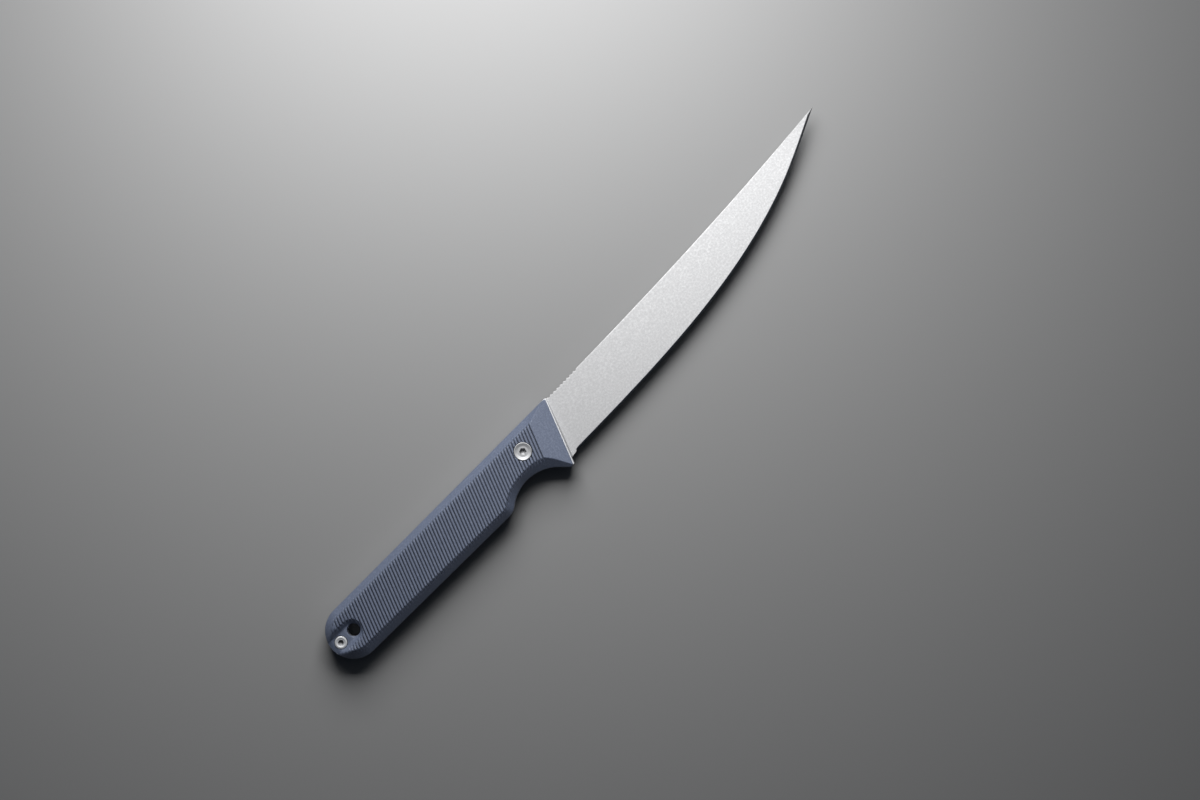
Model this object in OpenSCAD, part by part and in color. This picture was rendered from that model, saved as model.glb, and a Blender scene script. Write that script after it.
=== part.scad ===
// Full-tang kitchen knife with a long upswept blade and two grooved handle scales.
// Built lying flat: X runs along the knife to the tip, Y towards the spine, Z up.
// All pieces are drawn about the blade's mid-plane and the heel, then moved so that the
// origin is the centre of the footprint at the resting surface. Millimetres, degrees.

/* [Blade] */
// Distance from the heel datum to the tip
tip_x = 166.9; // [160:0.5:175]
// Height of the tip above the heel datum
tip_y = 20.5; // [19.5:0.25:21.5]
// Thickness of the tang, and of the spine where it leaves the handle
blade_t = 2.5; // [2.2:0.1:3]
// Thickness of the spine just behind the tip
tip_t = 0.6; // [0.5:0.1:1.2]
// Thickness of the flank where the cutting bevel starts
shoulder_t = 0.46; // [0.3:0.02:0.6]
// Width of the cutting bevel at the heel
bevel_w = 0.66; // [0.5:0.02:0.9]
// Width of the cutting bevel at the tip
bevel_tip_w = 0.9; // [0.6:0.05:1]

/* [Thumb notches] */
// Number of notches in the spine ahead of the handle
notch_n = 9; // [0:1:12]
// Distance between notches
notch_pitch = 1.9; // [1.7:0.1:2.2]
// Radius of each notch
notch_r = 0.75; // [0.6:0.05:0.8]
// Depth of each notch
notch_depth = 0.45; // [0.3:0.05:0.5]

/* [Handle] */
// Thickness of each steel liner
liner_t = 0.6; // [0.4:0.1:1]
// Thickness of each scale
scale_t = 5.6; // [5.2:0.1:6.2]
// Lean of the front of the handle, and of the grooves, from square
rake = 21.5; // [19:0.5:24]
// How far the liners show in front of the scales, along the knife
ledge = 0.65; // [0.4:0.05:1]
// Width of the bevel around each scale, seen from above
bevel_plan = 3.5; // [3.1:0.1:3.6]
// The same where the belly meets the tail
bevel_tail = 4.1; // [3.5:0.1:4.3]
// The same beside the guard, where the bevel is widest
bevel_guard = 4.9; // [4.4:0.1:5.1]
// Depth of the bevel around each scale
bevel_drop = 4.2; // [3.6:0.1:4.3]
// Fall of the plain facet towards the blade
facet_fall = 18; // [16:0.5:19]

/* [Grooves] */
// Number of grooves across each scale
groove_n = 78; // [10:1:78]
// Distance between grooves along the knife
groove_pitch = 1.46; // [1.4:0.01:1.47]
// Width of each groove
groove_w = 0.5; // [0.4:0.05:0.7]
// Depth of each groove
groove_depth = 1.1; // [0.5:0.05:1.2]

/* [Tail] */
// Radius of the lanyard hole
lanyard_r = 2.7; // [2.4:0.05:2.8]
// Depth of the pocket at the lanyard hole
pocket_depth = 2.7; // [2.3:0.1:2.8]
// Width of the pocket's floor
pocket_w = 6; // [5.8:0.1:6.2]
// How far each wall of the pocket leans out, seen from above
pocket_lean = 2.2; // [2:0.1:2.4]
// Fall of the pocket's floor towards the tail
pocket_fall = 6; // [4:0.5:7]

/* [Fasteners] */
// Diameter of the front heads
front_head_d = 7.4; // [7:0.1:7.6]
// Diameter of the front barrel
front_barrel_d = 5; // [4.6:0.1:5.4]
// Diameter of the front screw's shank
front_screw_d = 3; // [2.5:0.1:3]
// Width of the front hex sockets across the flats
front_hex = 2.5; // [2:0.5:2.5]
// Diameter of the rear heads
rear_head_d = 5.3; // [5:0.1:5.4]
// Diameter of the rear barrel
rear_barrel_d = 3.8; // [3.6:0.1:4.2]
// Diameter of the rear screw's shank
rear_screw_d = 2.5; // [2:0.1:2.5]
// Width of the rear hex sockets across the flats
rear_hex = 2; // [1.5:0.5:2]
// Gap around each barrel in its bores, on the radius
barrel_gap = 0.05; // [0.03:0.01:0.1]
// Gap around each head in its counterbore, on the radius
head_gap = 0.15; // [0.1:0.05:0.2]

/* [Hidden] */
$fn = 64;

// Heights above the mid-plane
z_tang = blade_t/2;
z_liner = z_tang + liner_t;
z_land = z_liner + scale_t;
z_edge = z_land - bevel_drop;
z_pocket = z_land - pocket_depth;

// Handle outline: tail arc, belly, finger groove, guard
tail_c = [-117.5, 1.75];
tail_r = 11.6;
top_front = [3.3, 13.65];
groove_c = [-23.8, -23.5];
groove_r = 18.45;
belly_corner = groove_c + groove_r*[cos(135), sin(135)];
belly_tail = tail_c + tail_r*[cos(270), sin(270)];
fillet = 2.6;
guard_y = -14;
guard_top = groove_c + groove_r*[cos(45), sin(45)];
guard_x = guard_top[0] + guard_top[1] - guard_y;

// Places
front_x = 0.25;
scale_x = front_x - ledge;
facet_x = -10.9;
first_groove = -11.35;
button = [-16.6, 4.5];
lanyard = [-117.1, 1.85];
pocket_at = [-117.9, 2.05];
rear_screw_at = [-124.5, 1.85];
x_shift = (tip_x + tail_c[0] - tail_r)/2;
y_shift = (tip_y + guard_y)/2;

steel = [0.80, 0.81, 0.82];
liner_steel = [0.68, 0.69, 0.71];
screw_steel = [0.86, 0.87, 0.88];
slate = [0.34, 0.38, 0.46];

function bez(a, b, c, d, t) =
    a*pow(1 - t, 3) + 3*b*t*pow(1 - t, 2) + 3*c*t*t*(1 - t) + d*pow(t, 3);
function mix(a, b, t) = a + (b - a)*t;
function clamp01(t) = min(1, max(0, t));
function unit(v) = v/norm(v);

// ---- Blade --------------------------------------------------------------

spine_x0 = 4.1;
function spine_y(x) = bez(13, 13.6, 15.4, tip_y, (x - spine_x0)/(tip_x - spine_x0));

// Cutting edge from heel to tip, in two curves that meet at t = 0.82
function edge_pt(t) = t < 0.82
    ? bez([0.6, -10.55], [53.3, -9.9], [100.5, -8.6], [141.5, 8.4], t/0.82)
    : bez([141.5, 8.4], [150, 12], [158.5, tip_y - 4.2], [tip_x, tip_y - 0.15], (t - 0.82)/0.18);

// Thickness of the spine, thinning towards the tip
function spine_t(u) = mix(blade_t - 0.02, tip_t, clamp01(u/0.95))*(u > 0.95 ? mix(1, 0.3, (u - 0.95)/0.05) : 1);

// Six points of one cross-section: spine, bevel shoulder and edge, on the near and far face.
// s and e are the spine and edge points, ts, tb and te the half thicknesses, w the bevel's width.
function section(s, e, ts, tb, te, w) =
    let (d = unit(s - e), b = e + d*w)
    [[s[0], s[1], ts], [b[0], b[1], tb], [e[0], e[1], te],
     [e[0], e[1], -te], [b[0], b[1], -tb], [s[0], s[1], -ts]];

front_spine = front_x + 13*tan(rake);
function along_spine(u) = let (x = mix(front_spine + 0.9, tip_x, u)) [x, spine_y(x)];

// From inside the tang, out through the front of the handle, along the unsharpened heel and
// then along the ground blade
sections = concat(
    [section([front_spine - 3.5, 11.8], [-8, -10.6], z_tang - 0.3, z_tang - 0.3, z_tang - 0.3, 0.7),
     section([front_spine, spine_y(front_spine)], [front_x - 11.4*tan(rake), -11.4], z_tang - 0.01, z_tang - 0.01, z_tang - 0.01, 0.7),
     section(along_spine(0), [-3.4, -11.25], z_tang - 0.01, shoulder_t/2 + 0.06, shoulder_t/2 + 0.02, 0.7),
     section(along_spine(0.002), [-1.9, -11], z_tang - 0.01, shoulder_t/2 + 0.03, shoulder_t/2, 0.7),
     section(along_spine(0.004), [-0.9, -10.81], z_tang - 0.01, shoulder_t/2 + 0.01, shoulder_t/2 - 0.05, 0.66),
     section(along_spine(0.006), [-0.2, -10.67], z_tang - 0.01, shoulder_t/2, 0.03, bevel_w)],
    [for (i = [0:56])
        let (t = i/56, u = mix(0.01, 1, t))
        section(along_spine(u), edge_pt(t), spine_t(u)/2,
                min(mix(shoulder_t, shoulder_t*0.75, t)/2, 0.4*spine_t(u)), 0.015,
                min(mix(bevel_w, bevel_tip_w, t), 0.6*norm(along_spine(u) - edge_pt(t))))]);

module ground_blade() {
    n = len(sections);
    polyhedron(
        points = [for (s = sections) for (p = s) p],
        faces = concat(
            [[for (j = [0:5]) j]],
            [for (i = [0:n - 2]) for (j = [0:5])
                let (k = (j + 1)%6, a = 6*i, b = 6*i + 6)
                for (f = [[a + j, b + j, b + k], [a + j, b + k, a + k]]) f],
            [[for (j = [5:-1:0]) 6*n - 6 + j]]),
        convexity = 6);
}

module blade() {
    color(steel)
    difference() {
        union() {
            plate(-z_tang, z_tang);
            ground_blade();
        }
        handle_bores();
        for (i = [0:1:notch_n - 1])
            let (x = 6.65 + notch_pitch*i)
            translate([x, spine_y(x) + notch_r - notch_depth, 0])
                cylinder(r = notch_r, h = 4, center = true);
    }
}

// ---- Handle -------------------------------------------------------------

// The outline is two chains of points that start at the end of the tail: the lower one runs
// along the belly, round the finger groove and down the guard, the upper one along the spine.
// Both run past the front of the handle, and are cut there.
tail_n = 14;
groove_arc_n = 14;
run_out = 12;
function top_y(x) = mix(tail_c[1] + tail_r, top_front[1], (x - tail_c[0])/(top_front[0] - tail_c[0]));
lower = concat(
    [for (i = [0:tail_n]) let (a = 180 + 90*i/tail_n) tail_c + tail_r*[cos(a), sin(a)]],
    [for (i = [0:6])
        let (t = i/6, a = belly_corner + fillet*unit(belly_tail - belly_corner),
             b = groove_c + groove_r*[cos(127), sin(127)])
        a*pow(1 - t, 2) + 2*belly_corner*t*(1 - t) + b*t*t],
    [for (i = [1:groove_arc_n]) let (a = mix(127, 45, i/groove_arc_n)) groove_c + groove_r*[cos(a), sin(a)]],
    [for (i = [0:4]) guard_top + mix(3, run_out, i/4)*[1, -1]]);
chain_n = len(lower);
taper_x = [-7.5, top_front[0] + 3];
upper = concat(
    [for (i = [0:tail_n]) let (a = 180 - 90*i/tail_n) tail_c + tail_r*[cos(a), sin(a)]],
    [for (i = [tail_n + 1:chain_n - 6]) [lower[i][0], top_y(lower[i][0])]],
    [for (i = [0:4]) let (x = mix(taper_x[0], taper_x[1], i/4)) [x, top_y(x)]]);
outline = concat(lower, [for (i = [chain_n - 1:-1:1]) upper[i]]);

// Bevel width for each outline point: it tapers away along the spine ahead of the grooves, and on
// the belly side it is wider at the tail and from the middle of the finger groove to the guard
function bevel_at(p) =
    p[1] > tail_c[1] ? bevel_plan*mix(1, 0.12, clamp01((p[0] - taper_x[0])/(taper_x[1] - taper_x[0]))) :
    p[0] < tail_c[0] ? mix(bevel_plan, bevel_tail, (tail_c[1] - p[1])/tail_r) :
    p[0] < belly_corner[0] ? mix(bevel_tail, bevel_plan, (p[0] - tail_c[0])/(belly_corner[0] - tail_c[0])) :
    mix(bevel_plan, bevel_guard, clamp01((p[0] - groove_c[0])/9.6));

// Inner edge of the bevel along a chain. side is 1 where the handle lies to the left of the chain.
function inner(chain, side) = [for (i = [0:chain_n - 1])
    let (p = chain[i],
         d1 = i == 0 ? [0, -side] : unit(p - chain[i - 1]),
         d2 = i == chain_n - 1 ? d1 : unit(chain[i + 1] - p),
         d = unit(d1 + d2))
    i == 0 ? p + [bevel_plan, 0] : p + side*bevel_at(p)*[-d[1], d[0]]/max(0.5, d*d1)];

function lift(chain, z) = [for (p = chain) [p[0], p[1], z]];

// One scale before its cuts: upright sides, then the bevel up to the flat land. Each level has the
// lower chain's points and then the upper chain's, and the chains share their first point.
module scale_blank() {
    n = chain_n;
    function low(level, i) = 2*n*level + i;
    function up(level, i) = 2*n*level + (i == 0 ? 0 : n + i);
    function quad(a, b, c, d) = concat(a == b ? [] : [[a, b, c]], c == d || d == a ? [] : [[a, c, d]]);
    polyhedron(
        points = concat(
            lift(lower, z_liner), lift(upper, z_liner),
            lift(lower, z_edge), lift(upper, z_edge),
            lift(inner(lower, 1), z_land), lift(inner(upper, -1), z_land)),
        faces = concat(
            [for (i = [0:n - 2]) for (f = quad(low(0, i), low(0, i + 1), up(0, i + 1), up(0, i))) f],
            [for (i = [0:n - 2]) for (f = quad(up(2, i + 1), low(2, i + 1), low(2, i), up(2, i))) f],
            [for (r = [0, 1]) for (i = [0:n - 2]) for (f = concat(
                quad(low(r, i), low(r + 1, i), low(r + 1, i + 1), low(r, i + 1)),
                quad(up(r, i + 1), up(r + 1, i + 1), up(r + 1, i), up(r, i)))) f],
            [for (r = [0, 1]) for (f = quad(low(r, n - 1), low(r + 1, n - 1), up(r + 1, n - 1), up(r, n - 1))) f]),
        convexity = 8);
}

// Everything ahead of the handle's raked front, with the eased top corner and the clipped guard.
// xf is where the front crosses the datum.
module ahead_of(xf, z0, z1) {
    tr = tan(rake);
    translate([0, 0, z0]) linear_extrude(z1 - z0) polygon(concat(
        [[1.5, 20], [xf + 13.9*tr - 2.2, 13.9]],
        [for (i = [0:4])
            let (t = i/4, a = [xf + 13.65*tr - 1.9, 13.66], b = [xf + 13.65*tr, 13.65], c = [xf + 12.7*tr, 12.7])
            a*pow(1 - t, 2) + 2*b*t*(1 - t) + c*t*t],
        [[xf - 13.7*tr, -13.7], [guard_x + 0.3, guard_y], [guard_x - 0.5, guard_y], [guard_x - 0.5, -40],
         [30, -40], [30, 20]]));
}

// A flat plate of the handle's outline
module plate(z0, z1) {
    difference() {
        translate([0, 0, z0]) linear_extrude(z1 - z0) polygon(outline);
        ahead_of(front_x, z0 - 1, z1 + 1);
    }
}

// The holes that go through scales, liners and tang alike
module handle_bores() {
    translate([lanyard[0], lanyard[1], -12]) cylinder(r = lanyard_r, h = 24);
    translate([button[0], button[1], -12]) cylinder(d = front_barrel_d + 2*barrel_gap, h = 24);
    translate([rear_screw_at[0], rear_screw_at[1], -12]) cylinder(d = rear_barrel_d + 2*barrel_gap, h = 24);
}

// Comb of parallel bars that cuts every groove at once, drawn square to the grooves
module groove_comb() {
    p = groove_pitch*cos(rake);
    z0 = z_land - groove_depth;
    rotate([90, 0, 0])
        translate([first_groove*cos(rake), 0, 0])
        linear_extrude(110, center = true)
        polygon(concat(
            [[2, z_land + 3], [2, z_land + 1]],
            [for (i = [0:groove_n - 1])
                for (q = [[groove_w/2, z_land + 1], [groove_w/2, z0], [-groove_w/2, z0], [-groove_w/2, z_land + 1]])
                [q[0] - p*i, q[1]]],
            [[-p*groove_n, z_land + 1], [-p*groove_n, z_land + 3]]));
}

// Plain facet that slopes from the first groove down to the blade
module facet_cut() {
    translate([facet_x, 0, z_land]) rotate([0, 0, -rake]) rotate([0, facet_fall, 0])
        translate([0, -60, 0]) cube([50, 120, 20]);
}

// Pocket round the lanyard hole, open to the tail, with leaning walls
module tail_pocket() {
    r = pocket_w/2;
    h = 3.4;
    k = h*pocket_lean/pocket_depth;
    hull()
        for (x = [0, -3])
            translate([pocket_at[0] + x, pocket_at[1], z_pocket]) cylinder(r1 = r, r2 = r + k, h = h, $fn = 32);
    // floor that falls towards the tail, a little narrower so that its walls cross the others
    translate([pocket_at[0] - 2.4, pocket_at[1], z_pocket]) rotate([0, -pocket_fall, 0]) translate([1.5, 0, 0])
        rotate([90, 0, -90])
        linear_extrude(21) polygon([[0.06 - r, 0], [r - 0.06, 0], [r - 0.06 + k, h], [0.06 - r - k, h]]);
}

module right_scale_body() {
    difference() {
        rotate([0, 0, -rake]) difference() {
            rotate([0, 0, rake]) difference() {
                scale_blank();
                ahead_of(scale_x, z_liner - 1, z_land + 1);
                facet_cut();
                tail_pocket();
            }
            groove_comb();
        }
        handle_bores();
        translate([button[0], button[1], z_land - 2.6]) cylinder(d = front_head_d + 2*head_gap, h = 6);
        translate([rear_screw_at[0], rear_screw_at[1], rear_seat]) cylinder(d = rear_head_d + 2*head_gap, h = 8);
    }
}

module right_scale() { color(slate) right_scale_body(); }
module left_scale() { color(slate) mirror([0, 0, 1]) right_scale_body(); }

module right_liner() {
    color(liner_steel) difference() { plate(z_tang, z_liner); handle_bores(); }
}
module left_liner() {
    color(liner_steel) difference() { plate(-z_liner, -z_tang); handle_bores(); }
}

// ---- Fasteners ----------------------------------------------------------

front_top = z_land - 0.1;
front_seat = z_land - 2.6;
rear_top = z_pocket - 0.45;
rear_seat = z_pocket - 1.85;

module hex_socket(af, top, depth) {
    translate([0, 0, top - depth]) cylinder(d = af/cos(30), h = depth + 2, $fn = 6);
}

// Dished head with a raised rim, from seat up to top, about the Z axis
module dished_head(d, seat, top) {
    r = d/2;
    rotate_extrude() polygon([[0, seat], [r, seat], [r, top - 0.2], [r - 0.1, top - 0.06], [r - 0.25, top],
        [r - 0.4, top - 0.03], [r - 1.45, top - 0.22], [0, top - 0.22]]);
}

// Round head with an eased edge
module plain_head(d, seat, top) {
    r = d/2;
    rotate_extrude() polygon([[0, seat], [r, seat], [r, top - 0.35], [r - 0.15, top - 0.12], [r - 0.45, top], [0, top]]);
}

module front_barrel_nut() {
    color(screw_steel) translate([button[0], button[1], 0]) difference() {
        union() {
            dished_head(front_head_d, front_seat, front_top);
            translate([0, 0, -4]) cylinder(d = front_barrel_d, h = front_seat + 4.5);
        }
        hex_socket(front_hex, front_top, 1.9);
        translate([0, 0, -5]) cylinder(d = front_screw_d + 0.1, h = 8.6);
    }
}
module front_screw() {
    color(screw_steel) translate([button[0], button[1], 0]) mirror([0, 0, 1]) difference() {
        union() {
            dished_head(front_head_d, front_seat, front_top);
            translate([0, 0, -3]) cylinder(d = front_screw_d, h = front_seat + 3.5);
        }
        hex_socket(front_hex, front_top, 1.9);
    }
}
module rear_barrel_nut() {
    color(screw_steel) translate([rear_screw_at[0], rear_screw_at[1], 0]) difference() {
        union() {
            plain_head(rear_head_d, rear_seat, rear_top);
            translate([0, 0, 0.25 - rear_seat]) cylinder(d = rear_barrel_d, h = 2*rear_seat + 0.25);
        }
        hex_socket(rear_hex, rear_top, 1.2);
        translate([0, 0, -4]) cylinder(d = rear_screw_d + 0.1, h = rear_seat + 3.5);
    }
}
module rear_screw() {
    color(screw_steel) translate([rear_screw_at[0], rear_screw_at[1], 0]) mirror([0, 0, 1]) difference() {
        union() {
            plain_head(rear_head_d, rear_seat, rear_top);
            translate([0, 0, 0.7 - rear_seat]) cylinder(d = rear_screw_d, h = 2*rear_seat - 0.2);
        }
        hex_socket(rear_hex, rear_top, 1.2);
    }
}

// Moves the drawing frame to the part's own frame
module placed() { translate([-x_shift, -y_shift, z_land]) children(); }

placed() blade();
placed() right_liner();
placed() left_liner();
placed() right_scale();
placed() left_scale();
placed() front_barrel_nut();
placed() front_screw();
placed() rear_barrel_nut();
placed() rear_screw();
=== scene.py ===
import bpy
import bmesh
import math
import numpy as np
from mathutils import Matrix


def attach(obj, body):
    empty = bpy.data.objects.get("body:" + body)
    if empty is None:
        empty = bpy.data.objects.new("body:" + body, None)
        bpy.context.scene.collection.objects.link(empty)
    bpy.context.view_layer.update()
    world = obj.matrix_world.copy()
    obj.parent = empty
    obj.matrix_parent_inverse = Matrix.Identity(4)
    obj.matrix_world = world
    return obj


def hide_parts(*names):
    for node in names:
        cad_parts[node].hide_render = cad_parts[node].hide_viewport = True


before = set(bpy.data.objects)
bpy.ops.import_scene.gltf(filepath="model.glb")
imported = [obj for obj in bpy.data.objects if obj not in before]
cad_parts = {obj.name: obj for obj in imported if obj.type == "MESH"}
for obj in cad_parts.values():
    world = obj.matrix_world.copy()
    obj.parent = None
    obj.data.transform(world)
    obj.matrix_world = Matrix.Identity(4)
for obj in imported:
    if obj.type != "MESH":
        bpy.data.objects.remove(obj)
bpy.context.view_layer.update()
scene = bpy.context.scene

# All shapes are worked out in millimetres about the blade's mid-plane and the heel, x towards the
# tip, y towards the spine, z up, and then moved into the part's own frame.
SHIFT = np.array([-18.9, -3.25, 7.45])

# ---- Sizes, as in the construction --------------------------------------

RAKE = math.radians(21.5)
CR, SR, TR = math.cos(RAKE), math.sin(RAKE), math.tan(RAKE)
Z_TANG, Z_LINER, Z_LAND = 1.25, 1.85, 7.45
BEVEL, BEVEL_TAIL, BEVEL_GUARD, DROP = 3.5, 4.1, 4.9, 4.2
Z_EDGE = Z_LAND - DROP
Z_POCKET = 4.75
TAIL_C, TAIL_R = (-117.5, 1.75), 11.6
TOP_FRONT = (3.3, 13.65)
GROOVE_C, GROOVE_R = (-23.8, -23.5), 18.45
CORNER = (GROOVE_C[0] + GROOVE_R*math.cos(math.radians(135)), GROOVE_C[1] + GROOVE_R*math.sin(math.radians(135)))
BELLY0 = (-117.5, -9.85)
GUARD_TOP = (GROOVE_C[0] + GROOVE_R*math.cos(math.radians(45)), GROOVE_C[1] + GROOVE_R*math.sin(math.radians(45)))
GUARD_Y = -14.0
GUARD_X = GUARD_TOP[0] + GUARD_TOP[1] - GUARD_Y
FRONT_X, SCALE_X = 0.25, -0.4
FACET_U = -10.9*CR
FACET_FALL = math.radians(18)
PITCH = 1.46*CR
FIRST_U = -11.35*CR
GROOVES = 78
GROOVE_DEPTH = 1.1
BUTTON = (-16.6, 4.5)
LANYARD, LANYARD_R = (-117.1, 1.85), 2.7
REAR = (-124.5, 1.85)
POCKET = (-117.9, 2.05)
TIP_X, TIP_Y = 166.9, 20.5


def to_uv(x, y):
    return x*CR - y*SR, x*SR + y*CR


def to_xy(u, v):
    return u*CR + v*SR, v*CR - u*SR


def mix(a, b, t):
    return a + (b - a)*t


def clamp01(t):
    return np.minimum(1, np.maximum(0, t))


def bez(a, b, c, d, t):
    return a*(1 - t)**3 + 3*b*t*(1 - t)**2 + 3*c*t*t*(1 - t) + d*t**3


def smin(a, b, k):
    h = np.maximum(k - np.abs(a - b), 0)/k
    return np.minimum(a, b) - h*h*k/4


# ---- Mesh helpers ---------------------------------------------------------

def obj_from(name, verts, faces, index=None):
    me = bpy.data.meshes.new(name)
    me.from_pydata(((np.asarray(verts, float) + SHIFT)*0.001).tolist(), [], faces)
    if index is not None:
        me.polygons.foreach_set("material_index", np.asarray(index, np.int32))
    me.update()
    ob = bpy.data.objects.new(name, me)
    scene.collection.objects.link(ob)
    return ob


def outward(ob):
    bm = bmesh.new()
    bm.from_mesh(ob.data)
    bmesh.ops.recalc_face_normals(bm, faces=bm.faces)
    if bm.calc_volume(signed=True) < 0:
        bmesh.ops.reverse_faces(bm, faces=bm.faces)
    bm.to_mesh(ob.data)
    bm.free()


def boolean(ob, other, how):
    m = ob.modifiers.new("cut", "BOOLEAN")
    m.operation, m.object, m.solver = how, other, "EXACT"
    m.material_mode = "TRANSFER"
    bpy.context.view_layer.update()
    dg = bpy.context.evaluated_depsgraph_get()
    me = bpy.data.meshes.new_from_object(ob.evaluated_get(dg))
    old = ob.data
    ob.modifiers.clear()
    ob.data = me
    bpy.data.meshes.remove(old)
    me.name = ob.name
    bpy.data.objects.remove(other)


def tidy(ob, merge=0.002):
    bm = bmesh.new()
    bm.from_mesh(ob.data)
    bmesh.ops.remove_doubles(bm, verts=bm.verts, dist=merge*0.001)
    bmesh.ops.dissolve_degenerate(bm, edges=bm.edges, dist=merge*0.0005)
    bm.to_mesh(ob.data)
    bm.free()


def shade(ob, angle, weighted=True):
    ob.data.polygons.foreach_set("use_smooth", np.ones(len(ob.data.polygons), bool))
    ob.data.set_sharp_from_angle(angle=math.radians(angle))
    if weighted:
        m = ob.modifiers.new("normals", "WEIGHTED_NORMAL")
        m.keep_sharp = True
        m.weight = 60
    ob.data.update()


def lathe(name, profile, centre, seg=96, flip=False):
    """A closed solid turned about the vertical axis at centre. profile holds (r, z) from the
    axis at the bottom round to the axis at the top; flip mirrors it in the mid-plane."""
    pts, faces, index = [], [], []
    for r, z in profile:
        if r < 1e-6:
            index.append([len(pts)])
            pts.append((centre[0], centre[1], z))
        else:
            index.append(list(range(len(pts), len(pts) + seg)))
            for i in range(seg):
                a = 2*math.pi*i/seg
                pts.append((centre[0] + r*math.cos(a), centre[1] + r*math.sin(a), z))
    for a, b in zip(index, index[1:]):
        for i in range(seg):
            j = (i + 1) % seg
            if len(a) == 1:
                faces.append((a[0], b[j], b[i]))
            elif len(b) == 1:
                faces.append((a[i], a[j], b[0]))
            else:
                faces.append((a[i], a[j], b[j], b[i]))
    pts = np.array(pts)
    if flip:
        pts[:, 2] *= -1
    ob = obj_from(name, pts, faces)
    outward(ob)
    return ob


def prism(name, centre, af, z0, z1, sides=6, lead=0.0, flip=False, turn=0.0):
    """A hexagonal cutter with a countersunk mouth at z1 and a drill point below z0."""
    r = af/2/math.cos(math.pi/sides)
    rings = [(0.0, z0 - 0.28*af), (r*0.9, z0), (r, z0 + 0.02), (r, z1 - lead), (r + lead, z1), (r + lead, z1 + 1), (0.0, z1 + 1)]
    pts, faces, index = [], [], []
    for rr, z in rings:
        if rr == 0:
            index.append([len(pts)])
            pts.append((centre[0], centre[1], z))
        else:
            index.append(list(range(len(pts), len(pts) + sides)))
            for i in range(sides):
                a = 2*math.pi*i/sides + turn
                pts.append((centre[0] + rr*math.cos(a), centre[1] + rr*math.sin(a), z))
    for a, b in zip(index, index[1:]):
        for i in range(sides):
            j = (i + 1) % sides
            if len(a) == 1:
                faces.append((a[0], b[j], b[i]))
            elif len(b) == 1:
                faces.append((a[i], a[j], b[0]))
            else:
                faces.append((a[i], a[j], b[j], b[i]))
    pts = np.array(pts)
    if flip:
        pts[:, 2] *= -1
    ob = obj_from(name, pts, faces)
    outward(ob)
    return ob


# ---- Handle outline -------------------------------------------------------

def arc(c, r, a0, a1, n):
    a = np.radians(np.linspace(a0, a1, n))
    return [(c[0] + r*math.cos(t), c[1] + r*math.sin(t)) for t in a]


_d = (CORNER[0] - BELLY0[0], CORNER[1] - BELLY0[1])
_n = math.hypot(*_d)
FILLET_A = (CORNER[0] - 2.6*_d[0]/_n, CORNER[1] - 2.6*_d[1]/_n)
FILLET_B = arc(GROOVE_C, GROOVE_R, 127, 127, 1)[0]
FILLET = [((1 - t)**2*FILLET_A[0] + 2*t*(1 - t)*CORNER[0] + t*t*FILLET_B[0],
           (1 - t)**2*FILLET_A[1] + 2*t*(1 - t)*CORNER[1] + t*t*FILLET_B[1]) for t in np.linspace(0, 1, 25)]
TANGENT = 180 - math.degrees(RAKE)


def top_y(x):
    return mix(TAIL_C[1] + TAIL_R, TOP_FRONT[1], (x - TAIL_C[0])/(TOP_FRONT[0] - TAIL_C[0]))


def chains(xf):
    """The two sides of the outline, from the tail to the raked front that crosses the datum at xf,
    as (u, v) tables: every line along the grooves crosses each side once."""
    low = arc(TAIL_C, TAIL_R, TANGENT, 270, 240) + [FILLET_A] + FILLET[1:] \
        + arc(GROOVE_C, GROOVE_R, 127, 45, 200)[1:] \
        + [(GUARD_X, GUARD_Y), (GUARD_X + 0.3, GUARD_Y), (xf - 13.7*TR, -13.7)]
    a, b, c = (xf + 13.65*TR - 1.9, 13.66), (xf + 13.65*TR, 13.65), (xf + 12.7*TR, 12.7)
    ease = [((1 - t)**2*a[0] + 2*t*(1 - t)*b[0] + t*t*c[0], (1 - t)**2*a[1] + 2*t*(1 - t)*b[1] + t*t*c[1])
            for t in np.linspace(0, 1, 40)]
    up = arc(TAIL_C, TAIL_R, TANGENT, 90, 160) + [(x, top_y(x)) for x in np.linspace(-110, a[0] - 0.4, 30)] + ease
    low, up = np.array(low), np.array(up)
    return to_uv(low[:, 0], low[:, 1]), to_uv(up[:, 0], up[:, 1]), np.array(ease)


def seg_dist(x, y, p, q):
    dx, dy = q[0] - p[0], q[1] - p[1]
    t = clamp01(((x - p[0])*dx + (y - p[1])*dy)/(dx*dx + dy*dy))
    return np.hypot(x - p[0] - t*dx, y - p[1] - t*dy)


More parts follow.
